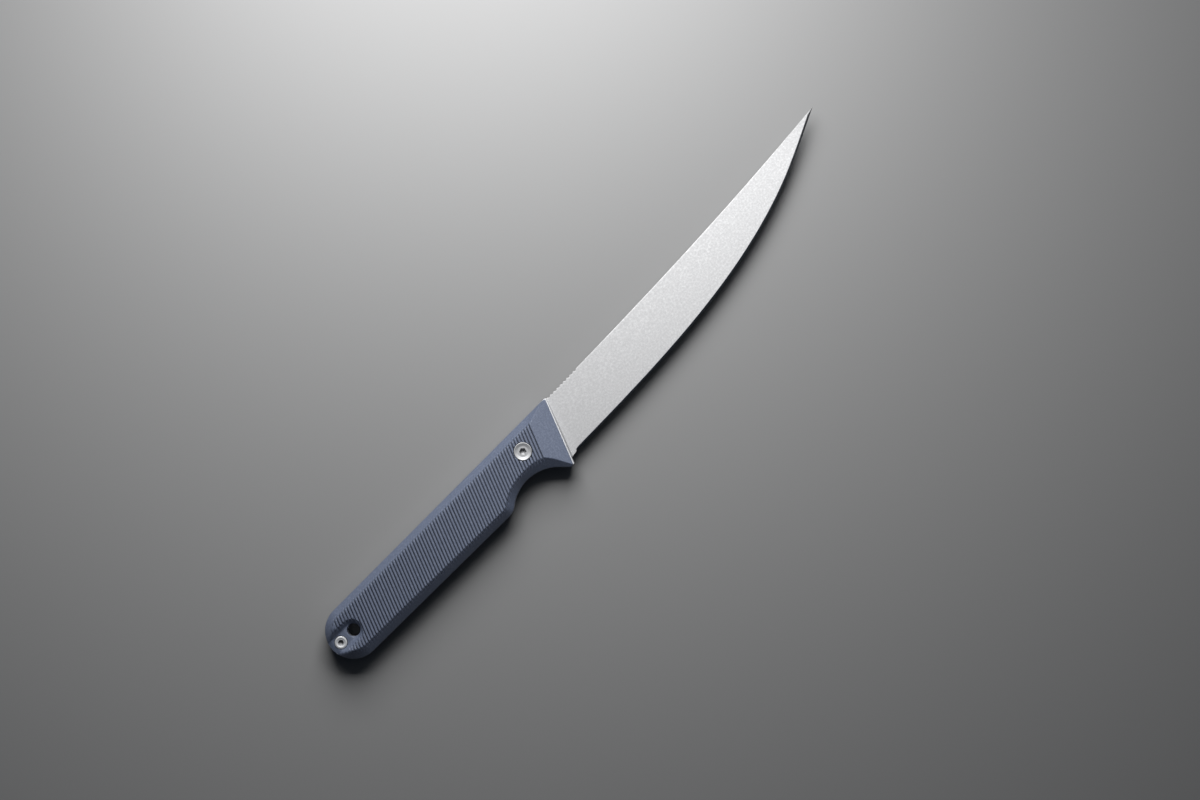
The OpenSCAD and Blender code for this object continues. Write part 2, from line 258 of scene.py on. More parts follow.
def dist_low(x, y):
    """Distance from the belly side of the outline, and the bevel's width there."""
    big = np.full(np.shape(x), 1e9)
    r = np.hypot(x - TAIL_C[0], y - TAIL_C[1])
    s = np.where(x <= TAIL_C[0], np.abs(TAIL_R - r), big)
    s = np.minimum(s, seg_dist(x, y, BELLY0, FILLET_A))
    for p, q in zip(FILLET, FILLET[1:]):
        s = np.minimum(s, seg_dist(x, y, p, q))
    b = mix(BEVEL_TAIL, BEVEL, clamp01((x - TAIL_C[0])/(CORNER[0] - TAIL_C[0])))
    b = np.where(x < TAIL_C[0], mix(BEVEL, BEVEL_TAIL, clamp01((TAIL_C[1] - y)/np.maximum(r, 1e-6))), b)
    ang = np.degrees(np.arctan2(y - GROOVE_C[1], x - GROOVE_C[0]))
    rc = np.hypot(x - GROOVE_C[0], y - GROOVE_C[1])
    sc = np.where((ang >= 45) & (ang <= 127), np.abs(rc - GROOVE_R), big)
    px = GROOVE_C[0] + GROOVE_R*np.cos(np.radians(ang))
    bc = mix(BEVEL, BEVEL_GUARD, clamp01((px - GROOVE_C[0])/9.6))
    b = np.where(sc < s, bc, b)
    s = np.minimum(s, sc)
    sl = seg_dist(x, y, GUARD_TOP, (GUARD_TOP[0] + 12, GUARD_TOP[1] - 12))
    b = np.where(sl < s, BEVEL_GUARD, b)
    return np.minimum(s, sl), b


def dist_up(x, y):
    r = np.hypot(x - TAIL_C[0], y - TAIL_C[1])
    s = np.where(x <= TAIL_C[0], np.abs(TAIL_R - r), 1e9)
    s = np.minimum(s, seg_dist(x, y, (TAIL_C[0], top_y(TAIL_C[0])), (15.3, top_y(15.3))))
    return s, BEVEL*mix(1, 0.12, clamp01((x + 7.5)/13.8))


# ---- Scale surface --------------------------------------------------------

RIM = 0.9
RIM_T = 0.388*RIM
RIM_S = 0.674*RIM_T
GROOVE_Q = np.array([0, 0.10, 0.16, 0.20, 0.225, 0.24, 0.26, 0.29, 0.33, 0.38])
GROOVE_Z = np.array([1.0, 1.0, 0.975, 0.91, 0.78, 0.50, 0.16, 0.05, 0.008, 0.0])*GROOVE_DEPTH


def groove(u):
    k = np.clip(np.round((FIRST_U - u)/PITCH), 0, GROOVES - 1)
    return np.interp(np.abs(u - (FIRST_U - k*PITCH)), GROOVE_Q, GROOVE_Z)


def over(d, r):
    """How far an edge rounded to r falls at distance d from it."""
    t = np.clip(d, 0, r)
    return r - np.sqrt(np.maximum(r*r - (r - t)**2, 0))


def bevel_z(s, b):
    slope = DROP/b
    t = np.sqrt(np.minimum(s, RIM_S)/RIM_S)
    rim = (Z_EDGE - RIM_T)*(1 - t)**2 + 2*Z_EDGE*t*(1 - t) + (Z_EDGE + RIM_S*slope)*t*t
    return np.where(s < RIM_S, rim, Z_EDGE + s*slope)


SCALE_LOW, SCALE_UP, EASE = chains(SCALE_X)
CLIP = ((GUARD_X + 0.3, GUARD_Y), (SCALE_X - 13.7*TR, -13.7))


def top_z(u):
    return Z_LAND - np.maximum(0, u - FACET_U)*math.tan(FACET_FALL)


def height(u, v):
    x, y = to_xy(u, v)
    sl, bl = dist_low(x, y)
    su, bu = dist_up(x, y)
    z = np.minimum(bevel_z(sl, bl), bevel_z(su, bu))
    top = np.minimum(top_z(u), Z_LAND - groove(u))
    z = smin(z, top, 0.32)
    z = z - over(SCALE_X*CR - u, 0.3)
    near = u > -4
    if np.any(near):
        d = np.full(np.shape(u), 1e9)
        for p, q in zip(EASE, EASE[1:]):
            d = np.where(near, np.minimum(d, seg_dist(x, y, p, q)), d)
        d = np.where(near, np.minimum(d, seg_dist(x, y, *CLIP)), d)
        z = z - over(d, 0.16)
    return z


def scale_columns():
    u0 = SCALE_LOW[0][0]
    cols = [u0 + d for d in (0.003, 0.012, 0.03, 0.06, 0.10, 0.16, 0.24, 0.34, 0.46, 0.62, 0.82, 1.06, 1.35, 1.7,
                             2.1, 2.5, 2.9, 3.4, 3.9, 4.4, 4.9, 5.4, 5.9)]
    last = FIRST_U - (GROOVES - 1)*PITCH - 0.5
    cols = [c for c in cols if c < last - 0.1]
    for k in range(GROOVES - 1, -1, -1):
        c = FIRST_U - k*PITCH
        cols += [c + q for q in (-0.33, -0.29, -0.26, -0.24, -0.225, -0.20, -0.16, -0.10, 0.10, 0.16, 0.20, 0.225, 0.24, 0.26, 0.29, 0.33)]
    f = SCALE_X*CR
    cols += [FACET_U - 0.04, FACET_U, FACET_U + 0.04]
    cols += list(np.linspace(FIRST_U + 0.7, f - 2.6, 20))
    cols += [f - d for d in (2.3, 2.0, 1.75, 1.55, 1.38, 1.22, 1.08, 0.95, 0.83, 0.72, 0.62, 0.53, 0.45, 0.38, 0.31,
                             0.25, 0.2, 0.16, 0.12, 0.085, 0.055, 0.03, 0.012, 0.0)]
    return np.array(cols)


def rows_for(cols, low, up, fr, mid_rows):
    """Where each row crosses each column: fr holds the bevel fractions, counted from each side."""
    vlo = np.interp(cols, *low)
    vhi = np.interp(cols, *up)
    n = len(cols)
    # the point furthest from both sides
    grid = np.linspace(0, 1, 81)[:, None]
    V = vlo + (vhi - vlo)*grid
    X, Y = to_xy(np.broadcast_to(cols, V.shape), V)
    sl, bl = dist_low(X, Y)
    su, bu = dist_up(X, Y)
    depth = np.minimum(sl/bl, su/bu)
    k = np.argmax(depth, 0)
    vm = V[k, np.arange(n)]
    hm = depth[k, np.arange(n)]
    ht = (np.minimum(top_z(cols), Z_LAND) - Z_EDGE)/DROP
    out = []
    for side, fn, end in ((1, dist_low, vlo), (-1, dist_up, vhi)):
        rows = []
        for f in fr:
            target = f*ht if f > 0.12 else np.minimum(f, ht*f/0.12)
            target = target*np.minimum(1, 0.97*hm/(fr[-1]*ht))
            a, b = end.copy(), vm.copy()
            for _ in range(40):
                m = (a + b)/2
                x, y = to_xy(cols, m)
                s, w = fn(x, y)
                inside = s/w < target
                a = np.where(inside, m, a)
                b = np.where(inside, b, m)
            rows.append(np.where(target <= 0, end, (a + b)/2))
        rows[0] = end
        step = np.minimum(0.012, np.abs(vm - end)/(len(fr) + 2))
        for i in range(1, len(rows)):
            rows[i] = rows[i - 1] + side*np.maximum(side*(rows[i] - rows[i - 1]), step)
        out.append(rows)
    lo, hi = out
    mids = [lo[-1] + (hi[-1] - lo[-1])*(i + 1)/(mid_rows + 1) for i in range(mid_rows)]
    return np.array(lo + mids + hi[::-1])


def scale_blank(name):
    cols = scale_columns()
    fr = [0, 0.0015, 0.007, 0.018, 0.036, 0.062, 0.1, 0.2, 0.35, 0.5, 0.65, 0.77, 0.83, 0.855, 0.875, 0.895, 0.92,
          0.945, 0.965, 0.982, 0.995, 1.008, 1.022, 1.04, 1.075]
    V = rows_for(cols, SCALE_LOW, SCALE_UP, fr, 3)
    R, C = V.shape
    U = np.broadcast_to(cols, V.shape)
    Z = height(U, V)
    X, Y = to_xy(U, V)
    pts = [np.stack([X, Y, Z], -1).reshape(-1, 3)]
    # upright side, eased at the bottom
    length = V[-1] - V[0]
    e = np.minimum(0.09, length*0.1)
    base = R*C
    for v, z in ((V[0], Z_LINER + 0.09), (V[0] + e, Z_LINER), (V[-1] - e, Z_LINER), (V[-1], Z_LINER + 0.09)):
        x, y = to_xy(cols, v)
        pts.append(np.stack([x, y, np.full(C, z)], -1))
    pts = np.concatenate(pts)

    def g(r, c):
        return r*C + c
    faces = []
    for r in range(R - 1):
        for c in range(C - 1):
            faces.append((g(r, c), g(r, c + 1), g(r + 1, c + 1), g(r + 1, c)))
    b = [base + i*C for i in range(4)]
    for c in range(C - 1):
        faces.append((b[0] + c, b[0] + c + 1, g(0, c + 1), g(0, c)))
        faces.append((b[1] + c, b[1] + c + 1, b[0] + c + 1, b[0] + c))
        faces.append((b[2] + c, b[2] + c + 1, b[1] + c + 1, b[1] + c))
        faces.append((b[3] + c, b[3] + c + 1, b[2] + c + 1, b[2] + c))
        faces.append((g(R - 1, c), g(R - 1, c + 1), b[3] + c + 1, b[3] + c))
    for c, back in ((C - 1, False), (0, True)):
        loop = [g(r, c) for r in range(R)] + [b[3] + c, b[2] + c, b[1] + c, b[0] + c]
        faces.append(tuple(loop if back else loop[::-1]))
    ob = obj_from(name, pts, faces)
    outward(ob)
    return ob


POCKET_LEAN = 2.2/2.7
POCKET_HALF, POCKET_R, POCKET_TURN, POCKET_FALL = 3.0, 1.0, -120.3, math.tan(math.radians(6))
POCKET_WALL = math.atan(1/POCKET_LEAN)
POCKET_FLAT = POCKET_HALF - POCKET_R*math.tan(POCKET_WALL/2)


def pocket_rise(d):
    """Height of the pocket's surface above its floor at distance d from its middle line."""
    t = np.clip(d - POCKET_FLAT, 0, POCKET_R*math.sin(POCKET_WALL))
    arc_z = POCKET_R - np.sqrt(POCKET_R**2 - t*t)
    return arc_z + np.maximum(0, d - POCKET_FLAT - POCKET_R*math.sin(POCKET_WALL))/POCKET_LEAN


def pocket_z(x, y):
    d = np.where(x > POCKET[0], np.hypot(x - POCKET[0], y - POCKET[1]), np.abs(y - POCKET[1]))
    return Z_POCKET - np.maximum(0, POCKET_TURN - x)*POCKET_FALL + pocket_rise(d)


def pocket_cutter():
    """Pocket round the lanyard hole: a flat floor that falls towards the tail, with leaning walls
    and a radius where they meet."""
    xl, y0 = POCKET
    arc_w = POCKET_R*math.sin(POCKET_WALL)
    out = [POCKET_FLAT + arc_w*f for f in (0, 0.2, 0.4, 0.6, 0.8, 1.0)]
    out += [out[-1] + d for d in np.arange(0.16, 2.6, 0.16)] + [out[-1] + 3.2]
    levels = [(d, float(pocket_rise(d))) for d in out]
    xs = list(np.arange(-131.5, -118.2, 0.35))
    st = [((x, y0), (0.0, 1.0), Z_POCKET - max(0.0, POCKET_TURN - x)*POCKET_FALL) for x in xs]
    for i in range(73):
        a = math.radians(90 - 180*i/72)
        st.append(((xl, y0), (math.cos(a), math.sin(a)), Z_POCKET))
    st += [((x, y0), (0.0, -1.0), Z_POCKET - max(0.0, POCKET_TURN - x)*POCKET_FALL) for x in xs[::-1]]
    K, N = len(levels), len(st)
    pts = [(o[0] + n[0]*d, o[1] + n[1]*d, zf + h) for o, n, zf in st for d, h in levels]
    faces = []
    for j in range(N - 1):
        for k in range(K - 1):
            faces.append((j*K + k, (j + 1)*K + k, (j + 1)*K + k + 1, j*K + k + 1))
    m = len(xs)
    for k in (0, K - 1):
        for j in range(m):
            a, b2 = j, j + 1
            faces.append((a*K + k, b2*K + k, (N - 1 - b2)*K + k, (N - 1 - a)*K + k))
        faces.append(tuple(j*K + k for j in range(m, N - m)))
    faces.append(tuple([k for k in range(K)] + [(N - 1)*K + k for k in range(K - 1, -1, -1)]))
    ob = obj_from("pocket_cutter", pts, faces)
    outward(ob)
    return ob


def soften_pocket(ob):
    """Rounds the crease where the pocket's walls run out into the lands and the bevel."""
    n = len(ob.data.vertices)
    co = np.zeros(n*3)
    ob.data.vertices.foreach_get("co", co)
    p = co.reshape(-1, 3)*1000 - SHIFT
    tail = np.where((p[:, 0] < POCKET[0] + 8) & (np.abs(p[:, 1] - POCKET[1]) < 8) & (p[:, 2] > Z_LINER + 1.5))[0]
    x, y = p[tail, 0], p[tail, 1]
    u, v = to_uv(x, y)
    a, b = height(u, v), pocket_z(x, y)
    on = np.abs(p[tail, 2] - np.minimum(a, b)) < 0.05
    k = mix(0.55, 1.5, clamp01((-119.5 - x)/3.0))
    p[tail[on], 2] = np.minimum(p[tail[on], 2], smin(a, b, k)[on])
    ob.data.vertices.foreach_set("co", ((p + SHIFT)*0.001).ravel())
    ob.data.update()


def bore_cutters():
    fz = Z_POCKET - (POCKET_TURN - REAR[0])*POCKET_FALL
    a = lathe("c1", [(0, -1), (LANYARD_R, -1), (LANYARD_R, Z_POCKET - 0.12), (LANYARD_R + 0.12, Z_POCKET),
                     (LANYARD_R + 0.12, 12), (0, 12)], LANYARD, 96)
    b = lathe("c2", [(0, -1), (2.55, -1), (2.55, 4.85), (3.85, 4.85), (3.85, Z_LAND - 0.12), (3.98, Z_LAND + 0.01),
                     (3.98, 12), (0, 12)], BUTTON, 96)
    c = lathe("c3", [(0, -1), (1.95, -1), (1.95, Z_POCKET - 1.85), (2.8, Z_POCKET - 1.85), (2.8, fz - 0.08), (2.9, fz + 0.02),
                     (2.9, 12), (0, 12)], REAR, 96)
    for o in (b, c):
        bm = bmesh.new()
        bm.from_mesh(a.data)
        bm.from_mesh(o.data)
        bm.to_mesh(a.data)
        bm.free()
        bpy.data.objects.remove(o)
    return a


right_scale = scale_blank("right_scale_looks")
boolean(right_scale, pocket_cutter(), "DIFFERENCE")
soften_pocket(right_scale)
boolean(right_scale, bore_cutters(), "DIFFERENCE")
tidy(right_scale, 0.001)


def mirrored(ob, name):
    me = ob.data.copy()
    co = np.zeros(len(me.vertices)*3)
    me.vertices.foreach_get("co", co)
    co = co.reshape(-1, 3)
    co[:, 2] = 2*SHIFT[2]*0.001 - co[:, 2]
    me.vertices.foreach_set("co", co.ravel())
    me.flip_normals()
    me.update()
    new = bpy.data.objects.new(name, me)
    scene.collection.objects.link(new)
    return new


left_scale = mirrored(right_scale, "left_scale_looks")
for o in (right_scale, left_scale):
    shade(o, 50)

# ---- Liners and tang ------------------------------------------------------

def slab(name, xf, z0, z1, ease, nose=None):
    """A flat plate of the handle's outline with eased edges, and its upper front edge rounded to nose."""
    nose = nose or ease
    low, up, _ = chains(xf)
    f = xf*CR
    u0 = low[0][0]
    cols = [u0 + d for d in (0.003, 0.012, 0.03, 0.06, 0.10, 0.16, 0.24, 0.34, 0.46, 0.62, 0.82, 1.06, 1.35, 1.7, 2.1, 2.5, 3.0)]
    cols += list(np.arange(u0 + 3.5, u0 + 24, 0.5)) + list(np.arange(u0 + 24.2, -48, 1.0))
    cols += list(np.arange(-48, f - 2.4, 0.3))
    cols += [f - d for d in (2.2, 2.0, 1.8, 1.6, 1.4, 1.22, 1.05, 0.9, 0.76, 0.63, 0.51, 0.45, 0.4, 0.35, 0.3, 0.26, 0.22, 0.18, 0.15, 0.12, 0.09, ease, 0.05, ease*0.4, 0.012, 0.0)]
    cols = np.array(sorted(set(round(c, 5) for c in cols)))
    lo, hi = np.interp(cols, *low), np.interp(cols, *up)
    e = np.minimum(ease, (hi - lo)*0.15)
    drop = over(f - cols, nose)
    lift = over(f - cols, ease)
    loops = [(lo, z1 - ease), (lo + 0.3*e, z1 - 0.3*ease), (lo + e, z1), (hi - e, z1), (hi - 0.3*e, z1 - 0.3*ease), (hi, z1 - ease),
             (hi, z0 + ease), (hi - 0.3*e, z0 + 0.3*ease), (hi - e, z0), (lo + e, z0), (lo + 0.3*e, z0 + 0.3*ease), (lo, z0 + ease)]
    C, L = len(cols), len(loops)
    pts = []
    for v, z in loops:
        x, y = to_xy(cols, v)
        mid = (z0 + z1)/2
        zz = np.where(z > mid, np.minimum(z, z1 - drop), np.maximum(z, z0 + lift))
        pts.append(np.stack([x, y, zz], -1))
    pts = np.concatenate(pts)
    faces = [(r*C + c, r*C + c + 1, ((r + 1) % L)*C + c + 1, ((r + 1) % L)*C + c) for r in range(L) for c in range(C - 1)]
    faces += [tuple(r*C for r in range(L)), tuple(r*C + C - 1 for r in range(L - 1, -1, -1))]
    ob = obj_from(name, pts, faces)
    outward(ob)
    return ob


def through_bores():
    a = lathe("t1", [(0, -12), (LANYARD_R, -12), (LANYARD_R, 12), (0, 12)], LANYARD, 96)
    for r, c in ((2.55, BUTTON), (1.95, REAR)):
        o = lathe("t2", [(0, -12), (r, -12), (r, 12), (0, 12)], c, 96)
        bm = bmesh.new()
        bm.from_mesh(a.data)
        bm.from_mesh(o.data)
        bm.to_mesh(a.data)
        bm.free()
        bpy.data.objects.remove(o)
    return a


right_liner = slab("right_liner_looks", FRONT_X, Z_TANG, Z_LINER, 0.07, 0.4)
boolean(right_liner, through_bores(), "DIFFERENCE")
left_liner = mirrored(right_liner, "left_liner_looks")
for o in (right_liner, left_liner):
    shade(o, 35)

# ---- Blade ----------------------------------------------------------------

SPINE_X0 = 4.1
FRONT_SPINE = FRONT_X + 13*TR
NOTCH_R, NOTCH_DEPTH = 0.75, 0.45


def spine_y(x):
    return bez(13, 13.6, 15.4, TIP_Y, (x - SPINE_X0)/(TIP_X - SPINE_X0))


def edge_pt(t):
    a = [np.array(p, float) for p in ((0.6, -10.55), (53.3, -9.9), (100.5, -8.6), (141.5, 8.4))]
    b = [np.array(p, float) for p in ((141.5, 8.4), (150, 12), (158.5, TIP_Y - 4.2), (TIP_X, TIP_Y - 0.15))]
    return bez(*a, t/0.82) if t < 0.82 else bez(*b, (t - 0.82)/0.18)


def spine_t(u):
    return mix(2.48, 0.6, min(1.0, max(0.0, u/0.95)))*(mix(1, 0.3, (u - 0.95)/0.05) if u > 0.95 else 1)


def notched_y(x):
    y = spine_y(x)
    for i in range(9):
        cx = 6.65 + 1.9*i
        d = abs(x - cx)
        if d < NOTCH_R:
            y = min(y, spine_y(cx) + NOTCH_R - NOTCH_DEPTH - math.sqrt(NOTCH_R**2 - d*d))
    return y


def trimmed(s, d):
    """How far the spine point moves down its section line to lie on the notched spine."""
    t = 0.0
    for _ in range(14):
        t = (s[1] - notched_y(s[0] - d[0]*t))/d[1]
    return max(0.0, t)


def blade_stations():
    """(spine point, edge point, half thickness at spine, at the bevel's shoulder, at the edge, bevel width)."""
    st = [(np.array([FRONT_SPINE - 3.5, 11.8]), np.array([-8.0, -10.6]), 0.95, 0.95, 0.95, 0.7)]
    e0, e1 = np.array([FRONT_X - 11.4*TR, -11.4]), np.array([-3.4, -11.25])
    sh = 0.23
    for q in (0.0, 0.05, 0.13, 0.24, 0.38, 0.55, 0.76, 1.0):
        x = FRONT_SPINE + 0.9*q
        k = 1 - math.sqrt(max(0.0, 1 - (1 - q)**2))
        st.append((np.array([x, spine_y(x)]), mix(e0, e1, q), 1.24, mix(sh + 0.02, 1.24, k), mix(sh, 1.24, k), 0.7))

    def along(u):
        x = mix(FRONT_SPINE + 0.9, TIP_X, u)
        return np.array([x, spine_y(x)])
    # unsharpened heel, where the cutting bevel starts with a rounded end
    heel = [(-3.4, -11.25), (-1.9, -11.0), (-0.9, -10.81), (-0.2, -10.67), (0.6, -10.55)]
    for i in range(1, 26):
        x = -3.4 + 4.0*i/26
        y = float(np.interp(x, [p[0] for p in heel], [p[1] for p in heel]))
        q = (x + 1.0)/0.6
        q = min(1.0, max(0.0, q))
        round_in = math.sqrt(max(0.0, 1 - (1 - q)**2))
        st.append((along(0.01*i/26), np.array([x, y]), 1.24, sh + 0.02*(1 - i/26), mix(sh - 0.01, 0.012, round_in),
                   max(0.012, 0.66*round_in) if q > 0 else 0.012))
    ts = list(np.arange(0, 0.097, 0.00075)) + list(np.arange(0.1, 0.8, 0.006)) + list(np.arange(0.8, 0.96, 0.004)) \
        + list(np.arange(0.96, 0.9999, 0.002)) + [1.0]
    for t in ts:
        u = mix(0.01, 1, t)
        s, e = along(u), edge_pt(t)
        half = spine_t(u)/2
        w = min(mix(0.66, 0.9, t), 0.6*float(np.linalg.norm(s - e)))
        st.append((s, e, half, min(mix(0.46, 0.345, t)/2, 0.8*half), 0.012, w))
    return st


def blade_mesh():
    pts, faces, index = [], [], []
    secs = []
    for n, (s, e, ts, tb, te, w) in enumerate(blade_stations()):
        d = s - e
        full = float(np.linalg.norm(d))
        d = d/full
        cut = trimmed(s, d) if 1 < n else 0.0
        length = full - w
        r = min(0.13, 0.3*ts, 0.2*max(0.02, length - cut))

        def z_at(a):     # a is the distance from the untrimmed spine
            return mix(ts, tb, min(1.0, a/max(length, 1e-6)))
        # spine face, eased edge, flank, shoulder, cutting edge
        z0 = z_at(cut)
        half = [(cut, z0 - r)]
        half += [(cut + r*(1 - math.cos(a)), z0 - r + r*math.sin(a)) for a in np.radians([22.5, 45, 67.5])]
        half += [(cut + r, z_at(cut + r))]
        lead = max(0.02, length - cut - r)
        half += [(cut + r + lead*f, z_at(cut + r + lead*f)) for f in (0.02, 0.2, 0.4, 0.6, 0.8)]
        half += [(max(cut + r + lead*0.9, length - 0.06), z_at(length - 0.06)), (length, tb)]
        half += [(length + w*0.5, mix(tb, te, 0.5)), (full - 0.001, te)]
        ring = [(s - d*a, z) for a, z in half]
        ring = [(p[0], p[1], z) for p, z in ring]
        ring += [(p[0], p[1], -p[2]) for p in ring[::-1]]
        secs.append((ring, s[0], te))
    K = len(secs[0][0])
    for ring, _, _ in secs:
        pts += ring
    h = K//2
    for i in range(len(secs) - 1):
        for j in range(K):
            k = (j + 1) % K
            faces.append((i*K + j, (i + 1)*K + j, (i + 1)*K + k, i*K + k))
            bevel = j in (h - 3, h - 2, h - 1, h, h + 1)
            index.append(1 if bevel and i > 16 and secs[i + 1][2] < 0.19 else 0)
    faces.append(tuple(range(K)))
    faces.append(tuple(range((len(secs) - 1)*K + K - 1, (len(secs) - 1)*K - 1, -1)))
    index += [0, 0]
    ob = obj_from("blade_looks", pts, faces, index)
    outward(ob)
    return ob


blade = blade_mesh()
for nm in ("blade_flank", "blade_bevel"):
    blade.data.materials.append(bpy.data.materials.new(nm))
tang = slab("tang", FRONT_X, -Z_TANG, Z_TANG, 0.07)
tang.data.materials.append(bpy.data.materials["blade_flank"])
boolean(blade, tang, "UNION")
bores = through_bores()
bores.data.materials.append(bpy.data.materials["blade_flank"])
boolean(blade, bores, "DIFFERENCE")
tidy(blade, 0.0005)
shade(blade, 28)

# ---- Fasteners ------------------------------------------------------------

def curve_pts(*pts):
    """Rounds a profile's corners: each entry is (r, z) or (r, z, radius)."""
    out = []
    n = len(pts)
    for i, p in enumerate(pts):
        if len(p) == 2 or i in (0, n - 1):
            out.append((p[0], p[1]))
            continue
        a, b, c = np.array(pts[i - 1][:2]), np.array(p[:2]), np.array(pts[i + 1][:2])
        la, lc = np.linalg.norm(a - b), np.linalg.norm(c - b)
        r = min(p[2], 0.45*la, 0.45*lc)
        p0, p2 = b + (a - b)/la*r, b + (c - b)/lc*r
        for t in np.linspace(0, 1, 6):
            q = (1 - t)**2*p0 + 2*t*(1 - t)*b + t*t*p2
            out.append((float(q[0]), float(q[1])))
    return out


def front_fastener(name, flip, barrel):
    r, top = 3.7, Z_LAND - 0.1
    low = [(0, 3.6), (1.55, 3.6), (1.55, -4), (2.5, -4, 0.1), (2.5, 4.85)] if barrel else \
          [(0, -3), (1.5, -3, 0.1), (1.5, 4.85)]
    prof = low + [(r - 0.06, 4.85), (r, 4.92), (r, top - 0.02, 0.16), (r - 0.32, top + 0.0, 0.12), (r - 0.42, top - 0.05, 0.05),
                  (r - 1.45, top - 0.22, 0.15), (0, top - 0.22)]
    ob = lathe(name, curve_pts(*prof), BUTTON, 128, flip)
    boolean(ob, prism("h", BUTTON, 2.5, top - 1.9, top - 0.22, lead=0.1, flip=flip, turn=0.35), "DIFFERENCE")
    shade(ob, 32)
    return ob


def rear_fastener(name, flip, barrel):
    r, top = 2.65, Z_POCKET - 0.45
    seat = Z_POCKET - 1.85
    low = [(0, 2.4), (1.3, 2.4), (1.3, -2.65), (1.9, -2.65, 0.1), (1.9, seat)] if barrel else \
          [(0, -2.2), (1.25, -2.2, 0.1), (1.25, seat)]
    prof = low + [(r - 0.05, seat), (r, seat + 0.05), (r, top - 0.06, 0.3), (r - 0.5, top, 0.1), (1.85, top, 0.2), (1.45, top - 0.08, 0.2), (0, top - 0.08)]
    ob = lathe(name, curve_pts(*prof), REAR, 96, flip)
    boolean(ob, prism("h", REAR, 2.0, top - 1.2, top - 0.08, lead=0.2, flip=flip, turn=0.2), "DIFFERENCE")
    shade(ob, 32)
    return ob


front_nut = front_fastener("front_barrel_nut_looks", False, True)
front_screw = front_fastener("front_screw_looks", True, False)
rear_nut = rear_fastener("rear_barrel_nut_looks", False, True)
rear_screw = rear_fastener("rear_screw_looks", True, False)

# ---- Materials ------------------------------------------------------------

def start(name):
    m = bpy.data.materials.get(name) or bpy.data.materials.new(name)
    m.use_nodes = True
    nt = m.node_tree
    nt.nodes.clear()
    out = nt.nodes.new("ShaderNodeOutputMaterial")
    bsdf = nt.nodes.new("ShaderNodeBsdfPrincipled")
    nt.links.new(bsdf.outputs[0], out.inputs[0])
    co = nt.nodes.new("ShaderNodeTexCoord")
    mm = nt.nodes.new("ShaderNodeVectorMath")
    mm.operation = "SCALE"
    mm.inputs["Scale"].default_value = 1000.0
    nt.links.new(co.outputs["Object"], mm.inputs[0])
    return m, nt, bsdf, mm.outputs[0]


def noise(nt, vec, scale, detail=2.0, rough=0.5, stretch=None, kind="FBM"):
    if stretch is not None:
        mp = nt.nodes.new("ShaderNodeMapping")
        mp.inputs["Scale"].default_value = stretch[:3]
        if len(stretch) > 3:
            mp.inputs["Rotation"].default_value = (0, 0, stretch[3])
        nt.links.new(vec, mp.inputs[0])
        vec = mp.outputs[0]
    n = nt.nodes.new("ShaderNodeTexNoise")
    n.inputs["Scale"].default_value = scale
    n.inputs["Detail"].default_value = detail
    n.inputs["Roughness"].default_value = rough
    nt.links.new(vec, n.inputs["Vector"])
    return n.outputs["Fac"]


def ramp(nt, fac, *stops):
    r = nt.nodes.new("ShaderNodeValToRGB")
    els = r.color_ramp.elements
    while len(els) < len(stops):
        els.new(0.5)
    for e, (p, c) in zip(els, stops):
        e.position = p
        e.color = (*c, 1) if len(c) == 3 else c
    nt.links.new(fac, r.inputs[0])
    return r.outputs[0]


def fit(nt, fac, a, b, c, d):
    r = nt.nodes.new("ShaderNodeMapRange")
    for i, v in zip((1, 2, 3, 4), (a, b, c, d)):
        r.inputs[i].default_value = v
    nt.links.new(fac, r.inputs[0])
    return r.outputs[0]


def calc(nt, op, a, b=None, c=None):
    m = nt.nodes.new("ShaderNodeMath")
    m.operation = op
    for i, v in enumerate((a, b, c)):
        if v is None:
            continue
        if isinstance(v, (int, float)):
            m.inputs[i].default_value = v
        else:
            nt.links.new(v, m.inputs[i])
    return m.outputs[0]


def blend_col(nt, fac, a, b, how="MIX"):
    m = nt.nodes.new("ShaderNodeMix")
    m.data_type = "RGBA"
    m.blend_type = how
    if isinstance(fac, (int, float)):
        m.inputs[0].default_value = fac
    else:
        nt.links.new(fac, m.inputs[0])
    for i, v in ((6, a), (7, b)):
        if isinstance(v, tuple):
            m.inputs[i].default_value = (*v, 1)
        else:
            nt.links.new(v, m.inputs[i])
    return m.outputs[2]


def bump(nt, bsdf, layers):
    prev = None
    for height_out, strength, dist in layers:
        b = nt.nodes.new("ShaderNodeBump")
        b.inputs["Strength"].default_value = strength
        b.inputs["Distance"].default_value = dist*0.001
        nt.links.new(height_out, b.inputs["Height"])
        if prev is not None:
            nt.links.new(prev, b.inputs["Normal"])
        prev = b.outputs[0]
    nt.links.new(prev, bsdf.inputs["Normal"])


def steel_flank():
    m, nt, bsdf, mm = start("blade_flank")
    fine = noise(nt, mm, 4.2, 3, 0.65)
    grain = noise(nt, mm, 1.7, 3, 0.6)
    pits = noise(nt, mm, 6.5, 2, 0.5)
    mottle = noise(nt, mm, 1.15, 4, 0.62)
    base = ramp(nt, fine, (0.28, (0.56, 0.56, 0.565)), (0.72, (0.72, 0.72, 0.725)))
    base = blend_col(nt, fit(nt, mottle, 0.35, 0.62, 0.30, 0.0), base, (0.42, 0.42, 0.425))
    base = blend_col(nt, fit(nt, mottle, 0.52, 0.68, 0.0, 0.25), base, (0.86, 0.86, 0.865))
    base = blend_col(nt, fit(nt, pits, 0.62, 0.74, 0.0, 0.3), base, (0.50, 0.50, 0.51))
    nt.links.new(base, bsdf.inputs["Base Color"])
    bsdf.inputs["Metallic"].default_value = 1.0
    nt.links.new(fit(nt, mottle, 0.3, 0.7, 0.66, 0.56), bsdf.inputs["Roughness"])
    bump(nt, bsdf, [(grain, 0.18, 0.010), (fine, 0.30, 0.008)])
    return m


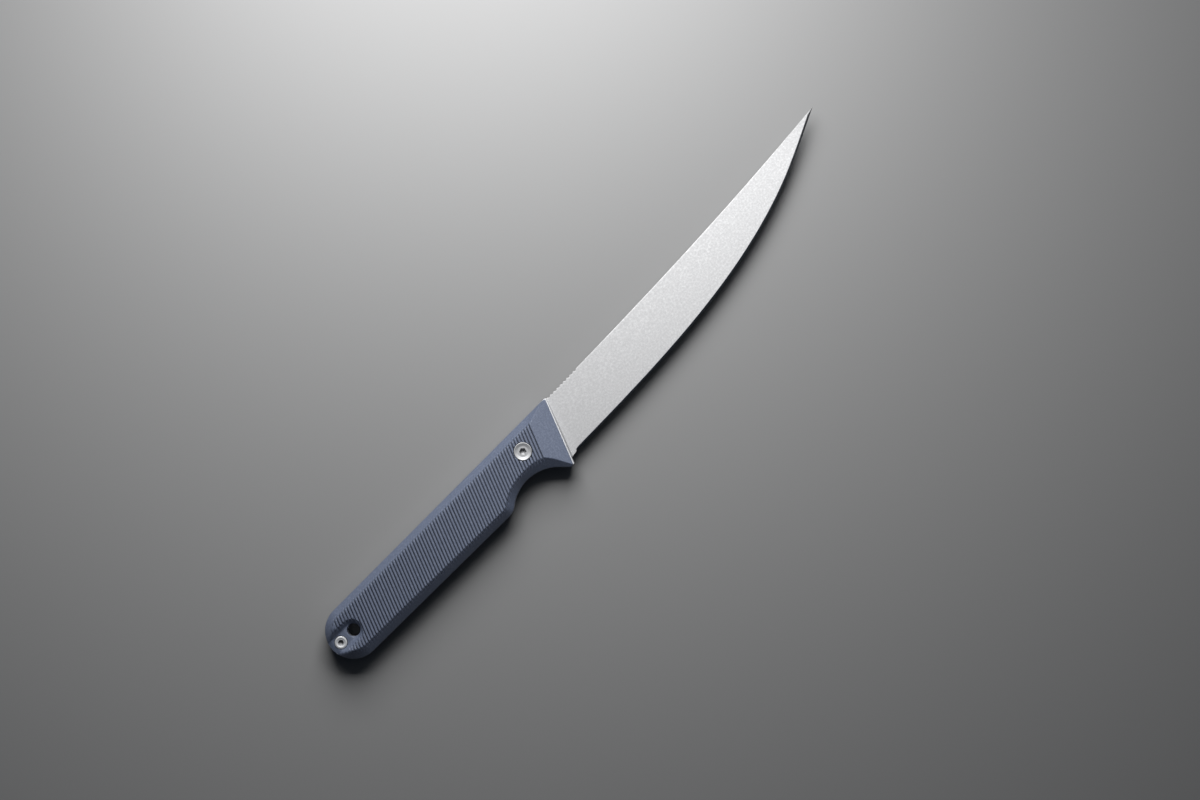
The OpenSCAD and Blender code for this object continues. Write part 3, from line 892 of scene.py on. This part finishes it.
def steel_bevel():
    m, nt, bsdf, mm = start("blade_bevel")
    lines = noise(nt, mm, 2.0, 2, 0.5, (6.0, 0.6, 1.0, 0.0))
    base = ramp(nt, lines, (0.3, (0.52, 0.52, 0.53)), (0.7, (0.64, 0.64, 0.65)))
    nt.links.new(base, bsdf.inputs["Base Color"])
    bsdf.inputs["Metallic"].default_value = 1.0
    nt.links.new(fit(nt, lines, 0.3, 0.7, 0.14, 0.24), bsdf.inputs["Roughness"])
    bump(nt, bsdf, [(lines, 0.15, 0.004)])
    return m


def steel_liner():
    m, nt, bsdf, mm = start("liner_satin")
    lines = noise(nt, mm, 1.2, 3, 0.6, (1.0, 6.0, 6.0, 0.0))
    base = ramp(nt, lines, (0.3, (0.80, 0.805, 0.825)), (0.7, (0.90, 0.905, 0.92)))
    nt.links.new(base, bsdf.inputs["Base Color"])
    bsdf.inputs["Metallic"].default_value = 1.0
    nt.links.new(fit(nt, lines, 0.3, 0.7, 0.52, 0.58), bsdf.inputs["Roughness"])
    bump(nt, bsdf, [(lines, 0.15, 0.004)])
    return m


def steel_screw(name, centre, tone, mouth, across, socket_shade):
    m, nt, bsdf, mm = start(name)
    cx, cy = (centre[0] + SHIFT[0]), (centre[1] + SHIFT[1])
    sub = nt.nodes.new("ShaderNodeVectorMath")
    sub.operation = "SUBTRACT"
    sub.inputs[1].default_value = (cx, cy, 0)
    nt.links.new(mm, sub.inputs[0])
    sep = nt.nodes.new("ShaderNodeSeparateXYZ")
    nt.links.new(sub.outputs[0], sep.inputs[0])
    rad = calc(nt, "SQRT", calc(nt, "ADD", calc(nt, "MULTIPLY", sep.outputs[0], sep.outputs[0]),
                                calc(nt, "MULTIPLY", sep.outputs[1], sep.outputs[1])))
    comb = nt.nodes.new("ShaderNodeCombineXYZ")
    nt.links.new(rad, comb.inputs[0])
    nt.links.new(calc(nt, "MULTIPLY", sep.outputs[2], 0.4), comb.inputs[1])
    rings = noise(nt, comb.outputs[0], 9.0, 3, 0.6)
    specks = noise(nt, mm, 4.0, 2, 0.5)
    base = ramp(nt, rings, (0.3, (0.92*tone, 0.93*tone, 0.95*tone)), (0.7, (1.06*tone, 1.07*tone, 1.09*tone)))
    base = blend_col(nt, fit(nt, specks, 0.6, 0.75, 0, 0.2), base, (0.7*tone, 0.7*tone, 0.72*tone))
    # painted shade: the inside of the hex socket is darkened, more further down, to stand in for the shade in the
    # recess
    up = calc(nt, "ABSOLUTE", calc(nt, "SUBTRACT", sep.outputs[2], float(SHIFT[2])))
    inside = calc(nt, "MULTIPLY", fit(nt, rad, across*0.6, across*0.56, 0.0, 1.0), fit(nt, up, mouth - 0.10, mouth - 0.45, 0.0, 1.0))
    base = blend_col(nt, calc(nt, "MULTIPLY", inside, socket_shade), base, (0.10, 0.10, 0.105))
    nt.links.new(base, bsdf.inputs["Base Color"])
    bsdf.inputs["Metallic"].default_value = 1.0
    nt.links.new(fit(nt, specks, 0.3, 0.7, 0.50, 0.57), bsdf.inputs["Roughness"])
    bump(nt, bsdf, [(rings, 0.12, 0.003), (specks, 0.12, 0.004)])
    return m


def composite():
    m, nt, bsdf, mm = start("slate_laminate")
    weave_a = noise(nt, mm, 1.0, 3, 0.6, (2.2, 0.45, 2.2, 0.0))
    weave_b = noise(nt, mm, 1.0, 3, 0.6, (0.45, 2.2, 2.2, 0.0))
    weave = calc(nt, "MAXIMUM", weave_a, weave_b)
    fine = noise(nt, mm, 4.0, 3, 0.6)
    cloud = noise(nt, mm, 0.10, 3, 0.5)
    # the laminate's layers show as faint lines where a bevel cuts through them
    sep = nt.nodes.new("ShaderNodeSeparateXYZ")
    nt.links.new(mm, sep.inputs[0])
    layer = calc(nt, "SINE", calc(nt, "ADD", calc(nt, "MULTIPLY", sep.outputs[2], 22.0), calc(nt, "MULTIPLY", cloud, 6.0)))
    base = ramp(nt, weave, (0.40, (0.088, 0.110, 0.168)), (0.56, (0.108, 0.133, 0.200)), (0.70, (0.128, 0.156, 0.230)))
    base = blend_col(nt, fit(nt, cloud, 0.35, 0.65, 0.0, 0.25), base, (0.100, 0.126, 0.192))
    base = blend_col(nt, fit(nt, layer, -1, 1, 0.0, 0.10), base, (0.066, 0.084, 0.130))
    base = blend_col(nt, fit(nt, fine, 0.55, 0.75, 0.0, 0.35), base, (0.165, 0.190, 0.255))
    mottle = noise(nt, mm, 1.5, 3, 0.6)
    base = blend_col(nt, fit(nt, mottle, 0.40, 0.60, 0.28, 0.0), base, (0.050, 0.066, 0.108))
    base = blend_col(nt, fit(nt, mottle, 0.52, 0.68, 0.0, 0.26), base, (0.210, 0.235, 0.300))
    # painted shade: the groove floors are darkened, more further down, to stand in for the shade inside the deep
    # narrow grooves; their place follows from the pitch
    u = calc(nt, "SUBTRACT", calc(nt, "MULTIPLY", calc(nt, "SUBTRACT", sep.outputs[0], float(SHIFT[0])), CR),
             calc(nt, "MULTIPLY", calc(nt, "SUBTRACT", sep.outputs[1], float(SHIFT[1])), SR))
    phase = calc(nt, "DIVIDE", calc(nt, "SUBTRACT", u, FIRST_U), PITCH)
    off = calc(nt, "ABSOLUTE", calc(nt, "SUBTRACT", phase, calc(nt, "ROUND", phase)))
    inside = fit(nt, off, 0.205, 0.185, 0.0, 1.0)
    down = calc(nt, "SUBTRACT", Z_LAND, calc(nt, "ABSOLUTE", calc(nt, "SUBTRACT", sep.outputs[2], float(SHIFT[2]))))
    deep = calc(nt, "MULTIPLY", fit(nt, down, 0.05, 0.5, 0.0, 1.0), fit(nt, down, GROOVE_DEPTH + 0.04, GROOVE_DEPTH + 0.02, 0.0, 1.0))
    behind = fit(nt, u, FIRST_U + 0.5, FIRST_U + 0.4, 0.0, 1.0)
    groove_shade = calc(nt, "MULTIPLY", calc(nt, "MULTIPLY", inside, deep), behind)
    # painted shade colour blended over the groove floors
    base = blend_col(nt, calc(nt, "MULTIPLY", groove_shade, 0.7), base, (0.030, 0.040, 0.066))
    nt.links.new(base, bsdf.inputs["Base Color"])
    bsdf.inputs["Metallic"].default_value = 0.0
    bsdf.inputs["IOR"].default_value = 1.5
    bsdf.inputs["Specular IOR Level"].default_value = 0.9
    nt.links.new(calc(nt, "ADD", fit(nt, fine, 0.3, 0.7, 0.54, 0.64), fit(nt, weave, 0.4, 0.7, 0.04, -0.04)), bsdf.inputs["Roughness"])
    bump(nt, bsdf, [(weave, 0.25, 0.02), (fine, 0.35, 0.012)])
    return m


m_flank, m_bevel, m_liner, m_comp = steel_flank(), steel_bevel(), steel_liner(), composite()
# the last argument sets how strongly painted shade darkens each hex socket
m_front, m_rear = steel_screw("turned_front", BUTTON, 0.52, Z_LAND - 0.32, 2.5, 0.5), steel_screw("turned_rear", REAR, 0.82, Z_POCKET - 0.53, 2.0, 0.85)


def dress(ob, *mats):
    if len(mats) == 1:
        ob.data.materials.clear()
        ob.data.materials.append(mats[0])
        ob.data.polygons.foreach_set("material_index", np.zeros(len(ob.data.polygons), np.int32))


for ob, mat, node, slot in (
        (right_scale, m_comp, "right_scale", "scale_composite"),
        (left_scale, m_comp, "left_scale", "scale_composite"),
        (right_liner, m_liner, "right_liner", "liner_steel"),
        (left_liner, m_liner, "left_liner", "liner_steel"),
        (front_nut, m_front, "front_barrel_nut", "fastener_steel"),
        (front_screw, m_front, "front_screw", "fastener_steel"),
        (rear_nut, m_rear, "rear_barrel_nut", "fastener_steel"),
        (rear_screw, m_rear, "rear_screw", "fastener_steel"),
        (blade, None, "blade", "blade_steel")):
    if mat is not None:
        dress(ob, mat)
    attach(ob, "root")
    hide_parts(node)

# ---- Floor, light and camera ----------------------------------------------

bm = bmesh.new()
bmesh.ops.create_grid(bm, x_segments=2, y_segments=2, size=3.0)
me = bpy.data.meshes.new("floor")
bm.to_mesh(me)
bm.free()
floor = bpy.data.objects.new("floor", me)
scene.collection.objects.link(floor)
floor.location = (0, 0, -0.00002)
fm = bpy.data.materials.new("floor_pale")
fm.use_nodes = True
fb = fm.node_tree.nodes["Principled BSDF"]
fb.inputs["Base Color"].default_value = (0.21, 0.21, 0.21, 1)
fb.inputs["Roughness"].default_value = 0.48
fb.inputs["Specular IOR Level"].default_value = 1.0
me.materials.append(fm)

UP = np.array([math.sqrt(0.5), math.sqrt(0.5)])      # the photo's upward direction on the floor
RIGHT = np.array([math.sqrt(0.5), -math.sqrt(0.5)])
CENTRE = np.array([0.0016, -0.00615])


def area(name, right, up, high, aim, w, h, power, color=(1, 1, 1)):
    p = CENTRE + RIGHT*right + UP*up
    t = CENTRE + RIGHT*aim[0] + UP*aim[1]
    li = bpy.data.lights.new(name, "AREA")
    li.shape = "RECTANGLE"
    li.size, li.size_y = w, h
    li.energy = power
    li.color = color
    ob = bpy.data.objects.new(name, li)
    scene.collection.objects.link(ob)
    ob.location = (p[0], p[1], high)
    from mathutils import Vector
    d = Vector((t[0] - p[0], t[1] - p[1], aim[2] - high))
    ob.rotation_mode = "QUATERNION"
    ob.rotation_quaternion = d.to_track_quat("-Z", "Y")
    return ob


area("key", -0.065, 0.29, 0.33, (-0.04, -0.04, 0.0), 0.32, 0.32, 3.4)
area("overhead", 0.20, 0.50, 1.30, (0.06, 0.06, 0.0), 1.0, 0.8, 0.3)

world = bpy.data.worlds.new("studio")
scene.world = world
world.use_nodes = True
world.node_tree.nodes["Background"].inputs[0].default_value = (0.62, 0.76, 1.0, 1)
world.node_tree.nodes["Background"].inputs[1].default_value = 0.03

cam = bpy.data.cameras.new("camera")
cam.lens = 100
cam.sensor_width = 36
cam_ob = bpy.data.objects.new("camera", cam)
scene.collection.objects.link(cam_ob)
cam_ob.location = (CENTRE[0], CENTRE[1], 0.00745 + 0.492*100/36)
cam_ob.rotation_euler = (0, 0, math.radians(-45))
cam.clip_start, cam.clip_end = 0.01, 20
scene.camera = cam_ob

scene.view_settings.view_transform = "Standard"
scene.view_settings.look = "None"
